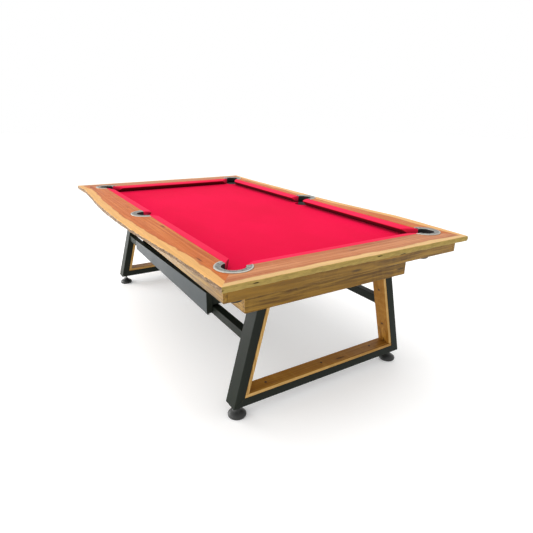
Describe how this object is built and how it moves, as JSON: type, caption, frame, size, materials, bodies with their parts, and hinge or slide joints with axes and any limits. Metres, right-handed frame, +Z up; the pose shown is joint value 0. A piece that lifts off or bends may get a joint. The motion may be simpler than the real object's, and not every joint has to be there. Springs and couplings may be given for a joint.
{
  "type": "pool table",
  "caption": "Slate-bed pool table with live-edge timber rails, red cloth, pewter corner and side pockets, sloping steel leg frames and a cue drawer",
  "frame": {"origin": "on the floor, under the middle of the table's overall box", "axes": "+Z up, +X along the table, -Y towards the side with the cue drawer"},
  "size_m": [2.6944, 1.596, 0.8535],
  "materials": {
    "slate": "matte",
    "cloth": "matte",
    "cushion_rubber": "matte",
    "live_edge_wood": "satin",
    "apron_wood": "satin",
    "liner_wood": "satin",
    "pewter": "satin",
    "black_plastic": "satin",
    "painted_steel": "satin",
    "drawer_paint": "satin",
    "bright_steel": "satin"
  },
  "bodies": {
    "table": {"slate_left": "slate", "slate_middle": "slate", "slate_right": "slate", "bed_cloth": "cloth", "rail_front": "live_edge_wood", "rail_back": "live_edge_wood", "rail_left": "live_edge_wood", "rail_right": "live_edge_wood", "cushion_front_left": "cushion_rubber", "cushion_front_right": "cushion_rubber", "cushion_back_left": "cushion_rubber", "cushion_back_right": "cushion_rubber", "cushion_left": "cushion_rubber", "cushion_right": "cushion_rubber", "casting_left_front": "pewter", "cup_left_front": "black_plastic", "casting_middle_front": "pewter", "cup_middle_front": "black_plastic", "casting_right_front": "pewter", "cup_right_front": "black_plastic", "casting_left_back": "pewter", "cup_left_back": "black_plastic", "casting_middle_back": "pewter", "cup_middle_back": "black_plastic", "casting_right_back": "pewter", "cup_right_back": "black_plastic", "apron_front": "apron_wood", "apron_back": "apron_wood", "apron_left": "apron_wood", "apron_right": "apron_wood", "box_front": "apron_wood", "box_back": "apron_wood", "box_left": "apron_wood", "box_right": "apron_wood", "cross_member_left": "apron_wood", "cross_member_right": "apron_wood", "leg_frame_left": "painted_steel", "liner_left_low": "liner_wood", "liner_left_front": "liner_wood", "liner_left_back": "liner_wood", "drawer_hanger_left": "painted_steel", "leg_frame_right": "painted_steel", "liner_right_low": "liner_wood", "liner_right_front": "liner_wood", "liner_right_back": "liner_wood", "drawer_hanger_right": "painted_steel", "beam_front": "painted_steel", "beam_back": "painted_steel"},
    "drawer": {"drawer_front": "drawer_paint", "drawer_tray": "painted_steel", "drawer_slide_left": "bright_steel", "drawer_slide_right": "bright_steel"},
    "levelling_foot_left_front": {"foot_left_front": "black_plastic", "stem_left_front": "bright_steel"},
    "levelling_foot_left_back": {"foot_left_back": "black_plastic", "stem_left_back": "bright_steel"},
    "levelling_foot_right_front": {"foot_right_front": "black_plastic", "stem_right_front": "bright_steel"},
    "levelling_foot_right_back": {"foot_right_back": "black_plastic", "stem_right_back": "bright_steel"}
  },
  "joints": [
    {"name": "drawer_slide", "type": "slide", "parent": "table", "child": "drawer", "axis": [0, -1, 0], "range_m": [0, 0.18]},
    {"name": "level_left_front", "type": "slide", "parent": "table", "child": "levelling_foot_left_front", "axis": [0, 0, 1], "range_m": [-0.01, 0.012]},
    {"name": "level_left_back", "type": "slide", "parent": "table", "child": "levelling_foot_left_back", "axis": [0, 0, 1], "range_m": [-0.01, 0.012]},
    {"name": "level_right_front", "type": "slide", "parent": "table", "child": "levelling_foot_right_front", "axis": [0, 0, 1], "range_m": [-0.01, 0.012]},
    {"name": "level_right_back", "type": "slide", "parent": "table", "child": "levelling_foot_right_back", "axis": [0, 0, 1], "range_m": [-0.01, 0.012]}
  ]
}
